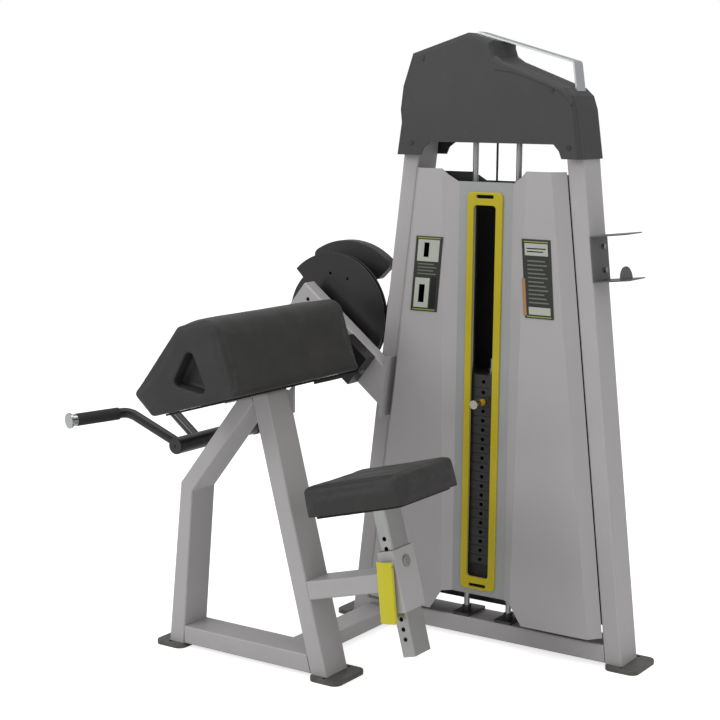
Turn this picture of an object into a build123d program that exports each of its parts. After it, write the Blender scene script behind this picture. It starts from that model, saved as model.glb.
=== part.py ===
"""Seated arm curl machine: an arm bench with a curl arm, tied to a weight-stack tower.

Millimetres, +Z up, floor at Z = 0. The user sits on the seat and faces -X; the elbow axis and the
two frame planes lie along Y. Bench pieces are drawn from the bench datum and tower pieces from the
tower's middle; the two datums place the origin under the middle of the machine.
"""
import os
from math import asin, atan2, cos, degrees, hypot, radians, sin, tan

from build123d import *

# Places of the two frames
bench_x, bench_y = -332.0, -169.0      # bench datum: middle plane of the A-frame
tower_x, tower_y = 203.0, 350.5        # middle of the weight tower

# Tube stock and floor plates
tube_depth = 100.0                     # along Y
tube_width = 50.0                      # in the plane of the frame
tube_wall = 3.0
tube_corner = 5.0
foot_thick = 12.0
foot_size = (95.0, 140.0)
floor_bolt_r = 5.5
floor_bolt_pitch = 112.0

# Bench: A-frame, seat arm and arm pad, all on one tilt
tilt = 15.0                            # the rear post and the seat post lean back by this
rear_post_foot = (342.5, foot_thick)
pad_corner = (238.0, 769.0)            # low corner of the arm pad, at the seat side
pad_tilt = 16.3
pad_near, pad_far = -275.0, 285.0      # ends of the pad along Y
pad_board_thick = 5.0
pad_plate_thick = 4.0
pad_recess = 40.0
seat_foot = (613.0, 114.0)             # low end of the seat post
seat_post_size = (38.0, 76.0)
sleeve_span = (115.0, 274.0)           # along the post, from its low end
hole_pitch = 25.9
lock_hole = 200.8
seat_height = 384.0
seat_plate_thick, seat_board_thick = 4.0, 5.0
seat_size = (297.0, 284.0, 77.0)

# Elbow axis and curl arm
elbow = (3.0, 879.0)
axle_r = 15.0
cross_tube = (-134.0, 565.0)
lever_plane = 296.0                    # y of the lever arm's near face
beam_angle = 38.2                      # slope of the support beam
beam_front, beam_back = 420.0, 469.5
cam_front = 496.0
cam_r = 181.0
cam_small_r = 147.0
groove_r = 175.0                       # middle of the cable on the cam
cam_slot_r = 122.0
weight_r = 213.0
weight_front = 572.0

# Curl bar
bar_r = 14.0
grip_r = 17.0
hub_r = 23.0
bar_bend = (-275.0, -78.0, 648.0)
bar_end = (-324.0, -236.0, 645.0)
hub_span = (-50.0, 76.0)

# Tower
lean = 0.1165                          # run over rise of the uprights
base_half = 431.0                      # outer half width of the tower at the foot plates
upright_top = 1405.0
shroud_front = -88.5                   # y of the shroud's front face
sheet = 2.0
cable_y = -13.5
cable_r = 3.0
rod_x, rod_r = 66.5, 8.0
plate_pitch = 26.2
plate_count = 19
lifted_count = 2
plate_size = (210.0, 100.0)
stack_z = 227.0
head_thick = 35.0
slot_half, slot_low, slot_high = 34.0, 191.0, 1223.0
trim_half, trim_low, trim_high = 54.0, 156.0, 1258.0
pulley_r = 50.0                        # middle of the cable on both pulleys
pulley_z = 1490.0
left_pulley, right_pulley = -180.0, -50.0

os.makedirs("parts", exist_ok=True)
tilt_cos, tilt_sin = cos(radians(tilt)), sin(radians(tilt))
pad_cos, pad_sin = cos(radians(pad_tilt)), sin(radians(pad_tilt))


def bench(y=0.0):
    """XZ plane through the bench; a positive extrusion comes forward, towards -Y."""
    return Plane((bench_x, bench_y + y, 0), x_dir=(1, 0, 0), z_dir=(0, -1, 0))


def tower(y=0.0):
    return Plane((tower_x, tower_y + y, 0), x_dir=(1, 0, 0), z_dir=(0, -1, 0))


def at_bench(x, y, z):
    return Vector(bench_x + x, bench_y + y, z)


def at_tower(x, y, z):
    return Vector(tower_x + x, tower_y + y, z)


def save(piece, name):
    """Label a finished piece and write it as its own node."""
    piece.part.label = name
    export_step(piece.part, f"parts/{name}.step")


def slab(plane, points, near, radius=0.0):
    """Closed outline on the plane, extruded forward; long edges rounded."""
    with BuildPart() as piece:
        with BuildSketch(plane):
            with BuildLine():
                Polyline(*points, close=True)
            make_face()
        extrude(amount=near)
        if radius:
            fillet(piece.edges().filter_by(lambda edge: edge.length > tube_depth + 1), radius)
    return piece


def round_bar(start, end, radius, bore=0.0):
    """Straight round bar or tube between two points."""
    with BuildPart() as piece:
        with BuildSketch(Plane(start, z_dir=end - start)):
            Circle(radius)
            if bore:
                Circle(bore, mode=Mode.SUBTRACT)
        extrude(amount=(end - start).length)
    return piece


def box_tube(start, end, across, depth, wall=tube_wall):
    """Straight rectangular tube; across lies in the frame's plane and depth along Y."""
    with BuildPart() as piece:
        with BuildSketch(Plane(start, x_dir=(0, 1, 0), z_dir=end - start)):
            RectangleRounded(depth, across, tube_corner)
            RectangleRounded(depth - 2 * wall, across - 2 * wall, tube_corner - wall + 1,
                             mode=Mode.SUBTRACT)
        extrude(amount=(end - start).length)
    return piece


def pad_point(along, up):
    """Point in the arm pad's own directions: along its base towards the seat, and up from it."""
    x, z = pad_corner
    return (x + along * pad_cos - up * pad_sin, z + along * pad_sin + up * pad_cos)


def post_x(z, side=0.0):
    """X of the rear post's middle line at a height, moved sideways by side across the tube."""
    return rear_post_foot[0] - (z - rear_post_foot[1]) * tan(radians(tilt)) + side / tilt_cos


# ---------------------------------------------------------------- A-frame
def pad_plane(up):
    """Plane across the bench, `up` above the arm pad's base, facing up."""
    x, z = pad_point(0, up)
    return Plane(at_bench(x, 0, z), x_dir=(pad_cos, 0, pad_sin), z_dir=(-pad_sin, 0, pad_cos))


def post_face(side):
    """Plane along the rear post's side, `side` from its middle line, facing away from the leg."""
    return Plane(at_bench(post_x(400, side), 0, 400), x_dir=(-tilt_sin, 0, tilt_cos),
                 z_dir=(tilt_cos, 0, tilt_sin))


def make_a_frame():
    """Bent front leg, leaning rear post and the foot tube between them."""
    half, under = tube_width / 2, -pad_board_thick - pad_plate_thick
    foot_out, foot_in = (-162, foot_thick), (-112, foot_thick)
    knee_out, knee_in = (-118, 467), (-78, 447)
    top_out, top_in = (138, 795), (146, 734)
    wall = tube_wall
    with BuildPart() as front_leg:
        add(slab(bench(half * 2), [foot_out, foot_in, knee_in, top_in, top_out, knee_out],
                 tube_depth, tube_corner).part)
        core = [(foot_out[0] + wall, foot_out[1] - 1), (foot_in[0] - wall, foot_in[1] - 1),
                (knee_in[0] - wall, knee_in[1] + 2), (top_in[0], top_in[1] + 5),
                (top_out[0], top_out[1] - 5), (knee_out[0] + wall, knee_out[1] - 2)]
        add(slab(bench(half * 2 - wall), core, tube_depth - 2 * wall).part, mode=Mode.SUBTRACT)
        split(bisect_by=pad_plane(under), keep=Keep.BOTTOM)
        split(bisect_by=post_face(-half), keep=Keep.BOTTOM)
    save(front_leg, "a_frame_front_leg")

    with BuildPart() as rear_post:
        add(box_tube(at_bench(post_x(-20), 0, -20), at_bench(post_x(800), 0, 800),
                     tube_width, tube_depth).part)
        split(bisect_by=Plane(at_bench(0, 0, foot_thick), z_dir=(0, 0, 1)), keep=Keep.TOP)
        split(bisect_by=pad_plane(under), keep=Keep.BOTTOM)
    save(rear_post, "a_frame_rear_post")

    leg_lean = radians(4.4)
    with BuildPart() as base:
        add(box_tube(at_bench(foot_in[0] + 4, 0, foot_thick + half), at_bench(400, 0, foot_thick + half),
                     tube_width, tube_depth).part)
        split(bisect_by=Plane(at_bench(*foot_in[:1], 0, foot_thick), x_dir=(0, 1, 0),
                              z_dir=(cos(leg_lean), 0, -sin(leg_lean))), keep=Keep.TOP)
        split(bisect_by=post_face(-half), keep=Keep.BOTTOM)
    save(base, "a_frame_base")


def make_feet():
    """Four rounded floor plates, each with two anchor holes, with their upper edges broken."""
    spots = [at_bench(-153, 0, 0), at_bench(367, 0, 0), at_tower(-432, 0, 0), at_tower(432, 0, 0)]
    with BuildPart() as feet:
        for spot in spots:
            with BuildSketch(Plane(spot)):
                RectangleRounded(*foot_size, 22)
                with Locations((0, floor_bolt_pitch / 2), (0, -floor_bolt_pitch / 2)):
                    Circle(floor_bolt_r, mode=Mode.SUBTRACT)
            extrude(amount=foot_thick)
        tops = feet.faces().filter_by(lambda face: face.center().Z > foot_thick - 0.01)
        chamfer([edge for face in tops for edge in face.outer_wire().edges()], 1.0)
    save(feet, "foot_plates")


def make_link_beam():
    flange_y = tower_y - 50 - bench_y
    centre_x, height = 212, 40
    with BuildPart() as link:
        with BuildSketch(Plane(at_bench(centre_x, 50, foot_thick + height / 2), x_dir=(1, 0, 0),
                               z_dir=(0, 1, 0))):
            RectangleRounded(80, height, tube_corner)
            RectangleRounded(80 - 2 * tube_wall, height - 2 * tube_wall, 3, mode=Mode.SUBTRACT)
        extrude(amount=flange_y - 50 - 6)
        with BuildSketch(Plane(at_bench(centre_x, flange_y, foot_thick + 25), x_dir=(1, 0, 0),
                               z_dir=(0, -1, 0))):
            RectangleRounded(124, 48, 6)
            with Locations((-51, 0), (51, 0)):
                Circle(5.2, mode=Mode.SUBTRACT)
        extrude(amount=6)
    save(link, "link_beam")


# ---------------------------------------------------------------- arm pad
def make_pad_plate():
    """Steel plate welded across the A-frame's tops, with a gusset on the post's far side."""
    with BuildPart() as plate:
        with BuildSketch(pad_plane(-pad_board_thick - pad_plate_thick)):
            with Locations((-146, 0)):
                RectangleRounded(146, 96, 8)
        extrude(amount=pad_plate_thick)
        with BuildSketch(bench(50)):
            with BuildLine():
                Polyline((post_x(736, 25), 736), pad_point(-54, -pad_board_thick),
                         pad_point(-48, -pad_board_thick), (post_x(680, 25) + 4, 680),
                         (post_x(680, 25), 680), close=True)
            make_face()
        extrude(amount=8)
    save(plate, "pad_plate")


def make_arm_pad():
    """Plywood board and the wedge-shaped cushion on it, with the recess in its near end."""
    length = pad_far - pad_near
    with BuildPart() as board:
        with BuildSketch(pad_plane(-pad_board_thick)):
            with Locations((-137, (pad_far + pad_near) / 2)):
                RectangleRounded(226, length - 40, 14)
        extrude(amount=pad_board_thick)
    save(board, "pad_board")

    outline = [(8, 0.3), (-2, 214), (-126, 213), (-324, 68), (-276, 0.3)]
    with BuildPart() as cushion:
        with BuildSketch(bench(pad_far)):
            with BuildLine():
                FilletPolyline(*[pad_point(*p) for p in outline], radius=[10, 46, 24, 12, 9], close=True)
            make_face()
        extrude(amount=length)
        ends = cushion.faces().sort_by(Axis.Y)
        fillet(ends[0].edges() + ends[-1].edges(), 4)
        with BuildSketch(bench(pad_near)):
            with BuildLine():
                FilletPolyline((101, 890), (160, 768), (42, 785), radius=14, close=True)
            make_face()
        extrude(amount=-pad_recess, mode=Mode.SUBTRACT)
    save(cushion, "arm_pad")


def beam_point(along, up):
    """Point in the support beam's own directions: along runs from the elbow up to its free end."""
    c, s = cos(radians(beam_angle)), sin(radians(beam_angle))
    return (elbow[0] - along * c + up * s, elbow[1] + along * s + up * c)


def make_pad_end_bracket():
    """Black box bracket from the support beam to the pad's far end, with a tongue under the board."""
    near = beam_front - 48
    under = -pad_board_thick
    corners = [(-218, -50), (-218, 50), (-122, 50), (-122, -50)]
    inset = [(-213, -45), (-213, 45), (-127, 45), (-127, -45)]
    with BuildPart() as bracket:
        add(slab(bench(beam_front), [beam_point(*p) for p in corners], beam_front - near).part)
        with BuildSketch(bench(beam_front)):
            with BuildLine():
                Polyline(*[beam_point(*p) for p in inset], close=True)
            make_face()
        extrude(amount=beam_front - near - 6, mode=Mode.SUBTRACT)
        with BuildSketch(bench(near)):
            with BuildLine():
                Polyline(*[pad_point(*p) for p in
                           [(-122, under - 8), (-62, under - 8), (-62, under), (-122, under)]], close=True)
            make_face()
        extrude(amount=near - pad_far + 50)
    save(bracket, "pad_end_bracket")


# ---------------------------------------------------------------- seat
seat_axis = Vector(-tilt_sin, 0, tilt_cos)


def seat_plane(s=0.0):
    """Plane across the seat post at s along it; x points away from the pad, y along Y."""
    return Plane(at_bench(seat_foot[0], 0, seat_foot[1]) + seat_axis * s, x_dir=(tilt_cos, 0, tilt_sin),
                 z_dir=seat_axis)


def make_seat_arm():
    reach = 196.0
    end = seat_plane(reach).origin
    gap = (end.X - bench_x - post_x(0)) * tilt_cos + end.Z * tilt_sin
    along = Vector(tilt_cos, 0, tilt_sin)
    arm = box_tube(end - along * (gap - tube_width / 2), end - along * (tube_width / 2), tube_width,
                   tube_depth)
    save(arm, "seat_arm")


def make_seat_sleeve():
    low, high = sleeve_span
    with BuildPart() as sleeve:
        with BuildSketch(seat_plane(low)):
            RectangleRounded(tube_width, tube_depth, tube_corner)
            Rectangle(tube_width - 8, tube_depth - 8, mode=Mode.SUBTRACT)
        extrude(amount=high - low)
        with BuildSketch(Plane(seat_plane(lock_hole).origin - Vector(0, 40, 0), z_dir=(0, -1, 0))):
            Circle(6.1)
        extrude(amount=20, mode=Mode.SUBTRACT)
    save(sleeve, "seat_sleeve")

    with BuildPart() as liners:
        for s in (low, high - 22):
            with BuildSketch(seat_plane(s)):
                Rectangle(tube_width - 8, tube_depth - 8)
                Rectangle(seat_post_size[0] + 0.16, seat_post_size[1] + 0.16, mode=Mode.SUBTRACT)
            extrude(amount=22)
    save(liners, "sleeve_liners")

    with BuildPart() as button:
        spot = seat_plane(238).origin + Vector(tilt_cos, 0, tilt_sin) * (tube_width / 2)
        with BuildSketch(Plane(spot, x_dir=(0, 1, 0), z_dir=(tilt_cos, 0, tilt_sin))):
            Circle(15)
        extrude(amount=5)
        fillet(button.faces().sort_by(Axis.X)[-1].edges(), 2)
    save(button, "clamp_button")


def make_seat():
    """Drilled square post, with the steel plate and plywood board that carry the cushion."""
    width, depth = seat_post_size
    with BuildPart() as post:
        with BuildSketch(seat_plane()):
            RectangleRounded(width, depth, 4)
            RectangleRounded(width - 6, depth - 6, 2, mode=Mode.SUBTRACT)
        extrude(amount=seat_height)
        for step in range(-6, 5):
            face = seat_plane(lock_hole + step * hole_pitch).origin - Vector(0, depth / 2 + 2, 0)
            with BuildSketch(Plane(face, z_dir=(0, 1, 0))):
                Circle(6)
            extrude(amount=8, mode=Mode.SUBTRACT)
    save(post, "seat_post")

    with BuildPart() as plate:
        with BuildSketch(seat_plane(seat_height)):
            RectangleRounded(150, 190, 12)
        extrude(amount=seat_plate_thick)
    save(plate, "seat_plate")

    length, across, _ = seat_size
    with BuildPart() as board:
        with BuildSketch(seat_plane(seat_height + seat_plate_thick)):
            with Locations((-5, 0)):
                RectangleRounded(length - 36, across - 36, 12)
        extrude(amount=seat_board_thick)
    save(board, "seat_board")


def make_seat_cushion():
    length, across, thick = seat_size
    with BuildPart() as cushion:
        with BuildSketch(seat_plane(seat_height + seat_plate_thick + seat_board_thick + 0.3)):
            with Locations((-5, 0)):
                RectangleRounded(length, across, 16)
        extrude(amount=thick)
        top = cushion.faces().filter_by(lambda f: f.normal_at().dot(seat_axis) > 0.99)
        fillet(top.edges(), 11)
    save(cushion, "seat_pad")


lever_tilt = 6.0
lever_pivot = (552.0, -62.0, 345.0)


def lever_plane_at(drop):
    """Plane facing forward on the lever's line, `drop` below its pivot."""
    c, s = cos(radians(lever_tilt)), sin(radians(lever_tilt))
    spot = at_bench(lever_pivot[0] + drop * s, lever_pivot[1], lever_pivot[2] - drop * c)
    return Plane(spot, x_dir=(c, 0, s), z_dir=(-s, 0, c))


def make_seat_lock():
    c, s = cos(radians(lever_tilt)), sin(radians(lever_tilt))
    with BuildPart() as lever:
        with BuildSketch(lever_plane_at(146)):
            with BuildLine():
                Polyline((-22, -4.5), (0, -10.5), (22, -4.5), (22, 5), (19, 5), (19, -2.1),
                         (0, -7.3), (-19, -2.1), (-19, 5), (-22, 5), close=True)
            make_face()
        extrude(amount=158)
        with BuildSketch(Plane(at_bench(*lever_pivot) + Vector(-c * 30, 0, -s * 30), z_dir=(c, 0, s))):
            Circle(3.06)
        extrude(amount=60, mode=Mode.SUBTRACT)
    save(lever, "seat_lever")

    pivot = at_bench(*lever_pivot)
    with BuildPart() as bracket:
        for side in (-16.5, 13.5):
            spot = pivot + Vector(c, 0, s) * side
            with BuildSketch(Plane(spot, x_dir=(0, 1, 0), z_dir=(c, 0, s))):
                with Locations((5.25, 0)):
                    Rectangle(13.5, 8)
            extrude(amount=3)
        add(round_bar(pivot - Vector(c, 0, s) * 24, pivot + Vector(c, 0, s) * 24, 3.0).part)
    save(bracket, "lever_bracket")

    face = seat_plane(lock_hole).origin
    nose = face - Vector(0, seat_post_size[1] / 2 + 0.6, 0)
    with BuildPart() as pin:
        add(round_bar(nose, nose - Vector(0, 22, 0), 5.9).part)
        add(round_bar(nose - Vector(0, 22, 0), nose - Vector(0, 25.4, 0), 8).part)
    save(pin, "seat_lock_pin")


# ---------------------------------------------------------------- curl arm
def make_support_beam():
    """Beam from the left upright up to the elbow axle, open at its free end under a plug."""
    outline = [beam_point(*p) for p in [(95, 50), (-360, 50), (-360, -50), (95, -50)]]
    core = [beam_point(*p) for p in [(91, 46), (-360, 46), (-360, -46), (91, -46)]]
    end_plate = (613.0, 785.0)
    inner_edge = Plane(at_tower(-(base_half - tube_width), 0, foot_thick), x_dir=(lean, 0, 1),
                       z_dir=(1, 0, -lean))
    with BuildPart() as beam:
        add(slab(bench(beam_back), outline, beam_back - beam_front, tube_corner).part)
        add(slab(bench(beam_back - 4), core, beam_back - beam_front - 8).part, mode=Mode.SUBTRACT)
        split(bisect_by=inner_edge, keep=Keep.BOTTOM)
        edge = [tower_x - bench_x + tube_width - half_width(z) for z in end_plate]
        add(slab(bench(beam_back), [(edge[0] - 8, end_plate[0]), (edge[0], end_plate[0]),
                                    (edge[1], end_plate[1]), (edge[1] - 8, end_plate[1])],
                 beam_back - beam_front).part)
        with BuildSketch(bench(beam_back + 1)):
            with Locations(elbow):
                Circle(24)
        extrude(amount=beam_back - beam_front + 2, mode=Mode.SUBTRACT)
        with BuildSketch(bench(beam_front + 10)):
            with Locations(beam_point(57, 20)):
                Circle(6)
        extrude(amount=12, mode=Mode.SUBTRACT)
    save(beam, "support_beam")

    with BuildPart() as bearings:
        for back in (beam_back, beam_front + 12):
            with BuildSketch(bench(back)):
                with Locations(elbow):
                    Circle(24)
                    Circle(axle_r + 0.04, mode=Mode.SUBTRACT)
            extrude(amount=12)
    save(bearings, "axle_bearings")


def around_elbow(radius, angle):
    return (elbow[0] + radius * cos(radians(angle)), elbow[1] + radius * sin(radians(angle)))


def make_cam():
    """Sheave cut from plate: a big track over the top, a small one behind the hook."""
    thick = 20.0
    with BuildPart() as cam:
        with BuildSketch(bench(cam_front + thick)):
            with Locations(elbow):
                Circle(cam_r)
        extrude(amount=thick)
        with BuildSketch(bench(cam_front + thick)):
            with BuildLine():
                hook, end = 135.0, 328.0
                far = [around_elbow(cam_r + 60, a) for a in (hook, 190, 230, 280, end)]
                Polyline(around_elbow(cam_small_r, hook), *far, around_elbow(cam_small_r, end))
                CenterArc(elbow, cam_small_r, hook, end - hook)
            make_face()
        extrude(amount=thick, mode=Mode.SUBTRACT)
        with BuildSketch(bench(cam_front + thick / 2 + cable_r + 1)):
            with Locations(elbow):
                Circle(cam_r + 5)
                Circle(groove_r - cable_r, mode=Mode.SUBTRACT)
        extrude(amount=2 * cable_r + 2, mode=Mode.SUBTRACT)
        with BuildSketch(bench(cam_front + thick)):
            with Locations(elbow):
                Circle(axle_r)
            for angle in (93, 64):
                with Locations(around_elbow(cam_slot_r, angle)):
                    Circle(4.5)
            for first, spread in ((5.7, 32.7), (120, 14)):
                SlotArc(CenterArc(elbow, cam_slot_r, first, spread, mode=Mode.PRIVATE), 11)
        extrude(amount=thick, mode=Mode.SUBTRACT)
        with BuildSketch(bench(cam_front)):
            with Locations(elbow):
                Circle(42)
                Circle(axle_r, mode=Mode.SUBTRACT)
        extrude(amount=14)
    save(cam, "cam")

    anchor, reach = -31.0, 129.0
    with BuildPart() as rope:
        with BuildLine(bench(cam_front + thick / 2)) as path:
            CenterArc(elbow, groove_r, anchor, reach)
        with BuildSketch(Plane(path.line @ 0, z_dir=path.line % 0)):
            Circle(cable_r)
        sweep(path=path.line)
    save(rope, "cam_cable")


def make_axle():
    """Turned axle in two bearings, with wider spacing collars between the pieces it carries."""
    x, z = elbow
    spans = [(lever_plane - 8, weight_front + 24, axle_r), (lever_plane + 30, beam_front - 0.5, 22),
             (beam_back + 0.5, cam_front - 14, 22), (cam_front + 20, weight_front, 22),
             (weight_front + 8, weight_front + 18, 22)]
    with BuildPart() as axle:
        for near, far, radius in spans:
            add(round_bar(at_bench(x, near, z), at_bench(x, far, z), radius).part)
    save(axle, "elbow_axle")


def make_lever_arm():
    """Flat bar from the axle down to the cross tube, with a round boss at each end."""
    dx, dz = cross_tube[0] - elbow[0], cross_tube[1] - elbow[1]
    length = hypot(dx, dz)
    across = (-dz / length, dx / length)
    corners = [(elbow[0] + across[0] * 36, elbow[1] + across[1] * 36),
               (cross_tube[0] + across[0] * 26, cross_tube[1] + across[1] * 26),
               (cross_tube[0] - across[0] * 26, cross_tube[1] - across[1] * 26),
               (elbow[0] - across[0] * 36, elbow[1] - across[1] * 36)]
    with BuildPart() as arm:
        with BuildSketch(bench(lever_plane + 20)):
            with BuildLine():
                Polyline(*corners, close=True)
            make_face()
            with Locations(elbow):
                Circle(36)
            with Locations(cross_tube):
                Circle(26)
        extrude(amount=20)
        with BuildSketch(bench(lever_plane + 30)):
            with Locations(elbow):
                Circle(30)
        extrude(amount=10)
        with BuildSketch(bench(lever_plane + 30)):
            with Locations(elbow):
                Circle(axle_r)
        extrude(amount=40, mode=Mode.SUBTRACT)
        fillet(arm.faces().sort_by(Axis.Y)[0].edges(), 2)
    save(arm, "lever_arm")

    x, z = cross_tube
    with BuildPart() as tube:
        add(round_bar(at_bench(x, hub_span[1] + 0.6, z), at_bench(x, lever_plane, z), hub_r).part)
        add(round_bar(at_bench(x, hub_span[0] + 7, z), at_bench(x, hub_span[1] + 1, z), 12.0).part)
    save(tube, "cross_tube")


def make_counterweight():
    span = (45.0, 128.0)
    with BuildPart() as weight:
        with BuildSketch(bench(weight_front + 41)):
            with BuildLine():
                inner = 135.0
                first, last = span
                CenterArc(elbow, weight_r, first, last - first)
                CenterArc(elbow, inner, first, last - first)
                for angle in span:
                    Line(around_elbow(inner, angle), around_elbow(weight_r, angle))
            make_face()
        extrude(amount=33)
        fillet(weight.edges().filter_by(Axis.Y), 20)
        fillet(weight.faces().sort_by(Axis.Y)[0].edges() + weight.faces().sort_by(Axis.Y)[-1].edges(), 3)
    save(weight, "counterweight")

    middle = (span[0] + span[1]) / 2
    blade = [around_elbow(34, middle + 90), around_elbow(152, middle + 20), around_elbow(152, middle - 20),
             around_elbow(34, middle - 90)]
    with BuildPart() as arm:
        with BuildSketch(bench(weight_front + 8)):
            with BuildLine():
                Polyline(*blade, close=True)
            make_face()
            with Locations(elbow):
                Circle(34)
                Circle(axle_r, mode=Mode.SUBTRACT)
        extrude(amount=8)
        with BuildSketch(bench(weight_front + 8)):
            with Locations(elbow):
                Circle(axle_r)
        extrude(amount=8, mode=Mode.SUBTRACT)
    save(arm, "counterweight_arm")


def make_curl_bar():
    x, z = cross_tube
    with BuildPart() as bar:
        add(round_bar(at_bench(x, hub_span[0], z), at_bench(x, hub_span[1], z), hub_r).part)
        for side in (1, -1):
            root = at_bench(x, hub_span[0] + 22 if side > 0 else hub_span[1] - 26, z)
            bend = at_bench(bar_bend[0], side * bar_bend[1], bar_bend[2])
            tip = at_bench(bar_end[0], side * bar_end[1], bar_end[2])
            with BuildLine(mode=Mode.PRIVATE) as path:
                FilletPolyline(root, bend, tip, radius=40)
            with BuildSketch(Plane(root, z_dir=bend - root)):
                Circle(bar_r)
            sweep(path=path.line)
        with BuildSketch(Plane(at_bench(x, hub_span[0] + 6, z), z_dir=(0, 1, 0))):
            Circle(12.05)
        extrude(amount=hub_span[1] - hub_span[0], mode=Mode.SUBTRACT)
        with BuildSketch(Plane(at_bench(x, hub_span[0], z), z_dir=(0, -1, 0))):
            Circle(hub_r - 1.5)
            Circle(4, mode=Mode.SUBTRACT)
        extrude(amount=2.5)
    save(bar, "curl_bar")

    with BuildPart() as grips:
        for side in (1, -1):
            bend = at_bench(bar_bend[0], side * bar_bend[1], bar_bend[2])
            tip = at_bench(bar_end[0], side * bar_end[1], bar_end[2])
            along = (tip - bend).normalized()
            add(round_bar(tip - along * 130, tip, grip_r, bar_r).part)
    save(grips, "hand_grips")

    with BuildPart() as caps:
        for side in (1, -1):
            bend = at_bench(bar_bend[0], side * bar_bend[1], bar_bend[2])
            tip = at_bench(bar_end[0], side * bar_end[1], bar_end[2])
            along = (tip - bend).normalized()
            add(round_bar(tip, tip + along * 16, grip_r - 1).part)
            add(round_bar(tip + along * 16, tip + along * 22, grip_r + 4).part)
    save(caps, "bar_end_caps")


# ---------------------------------------------------------------- tower
def half_width(z):
    return base_half - lean * (z - foot_thick)


def make_uprights():
    depth = tube_depth
    for side, name in ((-1, "left_upright"), (1, "right_upright")):
        outline = [(side * half_width(foot_thick), foot_thick),
                   (side * half_width(upright_top), upright_top),
                   (side * (half_width(upright_top) - tube_width), upright_top),
                   (side * (half_width(foot_thick) - tube_width), foot_thick)]
        core = [(side * (half_width(0) - tube_wall), 0), (side * (half_width(1500) - tube_wall), 1500),
                (side * (half_width(1500) - tube_width + tube_wall), 1500),
                (side * (half_width(0) - tube_width + tube_wall), 0)]
        with BuildPart() as upright:
            add(slab(tower(depth / 2), outline, depth, tube_corner).part)
            add(slab(tower(depth / 2 - tube_wall), core, depth - 2 * tube_wall).part,
                mode=Mode.SUBTRACT)
            if side < 0:
                with BuildSketch(tower(cable_y + 8)):
                    with BuildLine():
                        Polyline((-half_width(1270) - 6, 1270), (-half_width(1270) + 8, 1270),
                                 (-half_width(1050) + 8, 1050), (-half_width(1050) - 6, 1050),
                                 close=True)
                    make_face()
                extrude(amount=16, mode=Mode.SUBTRACT)
        save(upright, name)

    with BuildPart() as base:
        inner = [(half_width(z) - tube_width, z) for z in (foot_thick, foot_thick + tube_width)]
        ring = [(-inner[0][0], inner[0][1]), inner[0], inner[1], (-inner[1][0], inner[1][1])]
        add(slab(tower(depth / 2), ring, depth, tube_corner).part)
        with BuildSketch(Plane(at_tower(-450, 0, foot_thick + tube_width / 2), x_dir=(0, 1, 0),
                               z_dir=(1, 0, 0))):
            Rectangle(depth - 2 * tube_wall, tube_width - 2 * tube_wall)
        extrude(amount=900, mode=Mode.SUBTRACT)
    save(base, "tower_base")


def make_top_frame():
    """Two upright cheeks across the tower that carry the pulleys, with feet and rod guides."""
    low, high, sheet_thick = upright_top, 1545.0, 5.0
    half = half_width(upright_top) - 14
    with BuildPart() as frame:
        for back in (cable_y + 23, cable_y - 18):
            with BuildSketch(tower(back)):
                with BuildLine():
                    Polyline((-half, low), (half, low), (half, low + 45), (0, high - 20),
                             (-225, high - 20), (-half, low + 65), close=True)
                make_face()
                with Locations((left_pulley, pulley_z), (right_pulley, pulley_z)):
                    Circle(6, mode=Mode.SUBTRACT)
                with Locations((-115, 1448), (95, 1436)):
                    SlotOverall(120, 34, mode=Mode.SUBTRACT)
            extrude(amount=sheet_thick)
        for side in (-1, 1):
            with BuildSketch(Plane(at_tower(side * (half - 24), cable_y, low))):
                Rectangle(8, 46)
            extrude(amount=30)
            with BuildSketch(Plane(at_tower(side * rod_x, cable_y, low))):
                Rectangle(30, 46)
                Circle(rod_r, mode=Mode.SUBTRACT)
            extrude(amount=14)
    save(frame, "top_frame")


def make_pulleys():
    """Two grooved cable pulleys on fixed pins between the cheeks."""
    for x, name in ((left_pulley, "left_pulley"), (right_pulley, "right_pulley")):
        with BuildPart() as wheel:
            with BuildSketch(tower(cable_y + 9)):
                with Locations((x, pulley_z)):
                    Circle(pulley_r + 4)
                    Circle(6.05, mode=Mode.SUBTRACT)
                    with PolarLocations(27, 5):
                        Circle(8, mode=Mode.SUBTRACT)
            extrude(amount=18)
            with BuildSketch(tower(cable_y + cable_r + 1)):
                with Locations((x, pulley_z)):
                    Circle(pulley_r + 6)
                    Circle(pulley_r - cable_r - 0.05, mode=Mode.SUBTRACT)
            extrude(amount=2 * (cable_r + 1), mode=Mode.SUBTRACT)
        save(wheel, name)
    with BuildPart() as pins:
        for x in (left_pulley, right_pulley):
            ends = [at_tower(x, cable_y + side * 28, pulley_z) for side in (-1, 1)]
            add(round_bar(*ends, 6.0).part)
    save(pins, "pulley_pins")


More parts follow.
